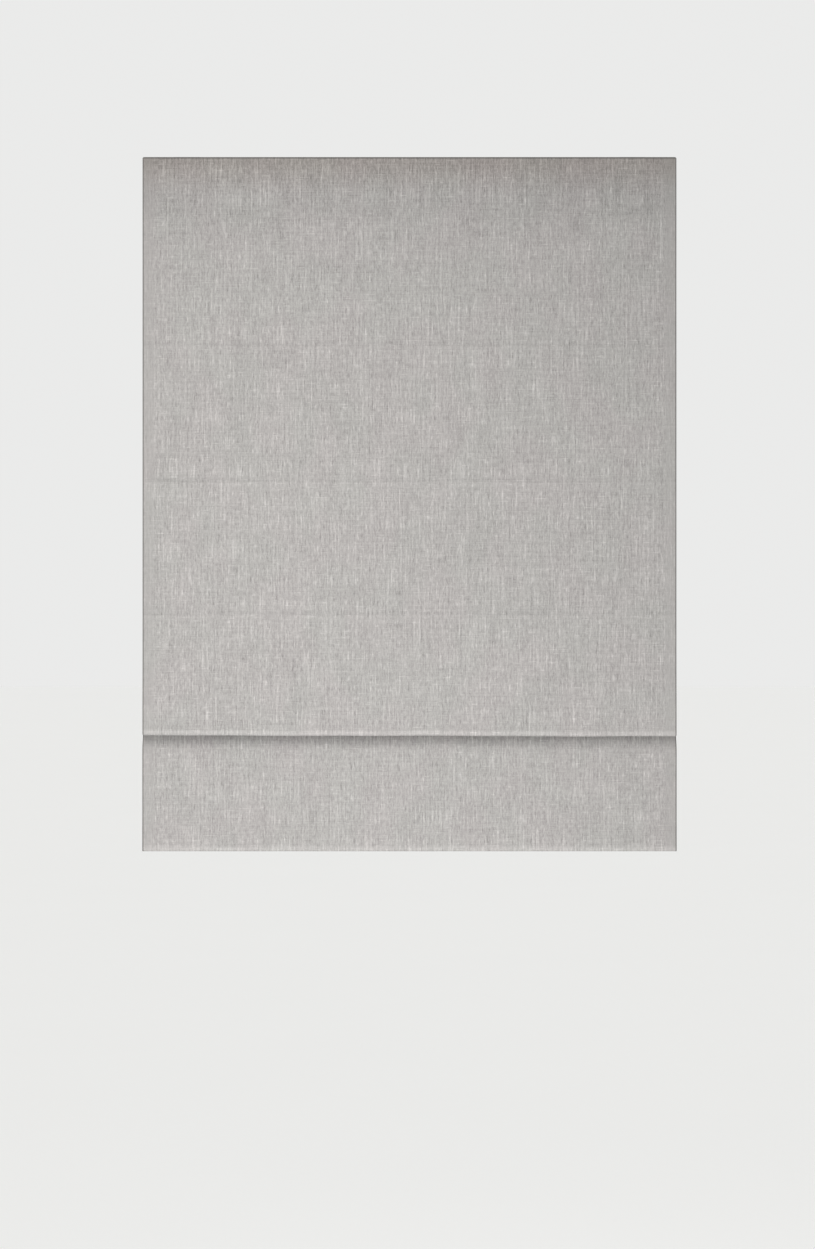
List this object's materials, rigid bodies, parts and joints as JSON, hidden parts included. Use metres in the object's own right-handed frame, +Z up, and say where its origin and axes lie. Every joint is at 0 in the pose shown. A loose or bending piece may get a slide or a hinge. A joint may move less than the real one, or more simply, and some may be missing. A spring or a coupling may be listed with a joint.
{
  "type": "roman blind",
  "caption": "Flat grey linen-look roman blind for a window opening, cordless, with a spring-lifted shaft in its headrail, battens and a weighted hem, hung with one low fold",
  "frame": {"origin": "the middle of the four screw holes, on the top faces of the two ceiling brackets", "axes": "+Z up, -Y is the front (room side), +X to the right seen from the room"},
  "size_m": [0.787, 0.055, 1.0287],
  "materials": {
    "linen_cloth": "heathered grey linen weave with vertical slubs",
    "lining_cloth": "plain off-white lining weave",
    "hook_tape": "woven tape with hooks",
    "loop_tape": "woven tape with a loop pile",
    "batten": "pultruded white glass-fibre strip",
    "clear_plastic": "natural moulded plastic",
    "white_plastic": "fine-textured white moulded plastic",
    "cord": "braided polyester cord",
    "weight_bar": "mill-finish flat bar",
    "rail": "white powder coat",
    "bracket": "zinc-plated spring steel",
    "shaft": "drawn steel rod",
    "spool": "acetal, natural",
    "housing": "grey moulded plastic",
    "screw": "zinc-plated",
    "spring": "blued spring strip",
    "drum": "dark glass-filled nylon"
  },
  "bodies": {
    "headrail": {"headrail": "rail", "end_cap_left": "white_plastic", "end_cap_right": "white_plastic", "bracket_left": "bracket", "bracket_right": "bracket", "cradle_left": "white_plastic", "cradle_right": "white_plastic", "motor_base": "housing", "motor_cover": "housing", "motor_screws": "screw", "storage_axle": "shaft", "motor_spring": "spring", "hook_tape": "hook_tape", "loop_tape": "loop_tape", "face_fabric": "linen_cloth", "lining": "lining_cloth", "lift_cord_left": "cord", "lift_cord_right": "cord"},
    "lift_roller": {"lift_shaft": "shaft", "shaft_collars": "white_plastic", "spool_left": "spool", "spool_right": "spool", "output_drum": "drum"},
    "spring_store": {"storage_drum": "drum"},
    "rib_1": {"batten_1": "batten", "rings_1": "clear_plastic"},
    "rib_2": {"batten_2": "batten", "rings_2": "clear_plastic"},
    "rib_3": {"batten_3": "batten", "rings_3": "clear_plastic"},
    "bottom": {"batten_4": "batten", "cord_anchors": "white_plastic", "bottom_bar": "weight_bar", "bar_cap_left": "white_plastic", "bar_cap_right": "white_plastic"}
  },
  "joints": [
    {"name": "lift", "type": "slide", "parent": "headrail", "child": "bottom", "axis": [0, 0, 1], "range_m": [-0.0463, 0.7086], "deforming": ["face_fabric", "lining", "lift_cord_left", "lift_cord_right", "motor_spring"]},
    {"name": "batten_1_lift", "type": "slide", "parent": "headrail", "child": "rib_1", "axis": [0, 0, 1], "range_m": [-0.0148, 0.2235]},
    {"name": "batten_2_lift", "type": "slide", "parent": "headrail", "child": "rib_2", "axis": [0, 0, 1], "range_m": [-0.0268, 0.4075]},
    {"name": "batten_3_lift", "type": "slide", "parent": "headrail", "child": "rib_3", "axis": [0, 0, 1], "range_m": [-0.0386, 0.5871]},
    {"name": "shaft_turn", "type": "hinge", "parent": "headrail", "child": "lift_roller", "pos_m": [0, -0.0098, -0.02], "axis": [-1, 0, 0], "range_deg": [-267, 4061]},
    {"name": "storage_turn", "type": "hinge", "parent": "headrail", "child": "spring_store", "pos_m": [0, 0.0102, -0.02], "axis": [1, 0, 0], "range_deg": [-267, 4061]}
  ],
  "couplings": [
    {"joint": "batten_1_lift", "follows": "lift", "ratio": 0.3151},
    {"joint": "batten_2_lift", "follows": "lift", "ratio": 0.5748},
    {"joint": "batten_3_lift", "follows": "lift", "ratio": 0.8283},
    {"joint": "shaft_turn", "follows": "lift", "rad_per_m": 100},
    {"joint": "storage_turn", "follows": "lift", "rad_per_m": 100}
  ]
}
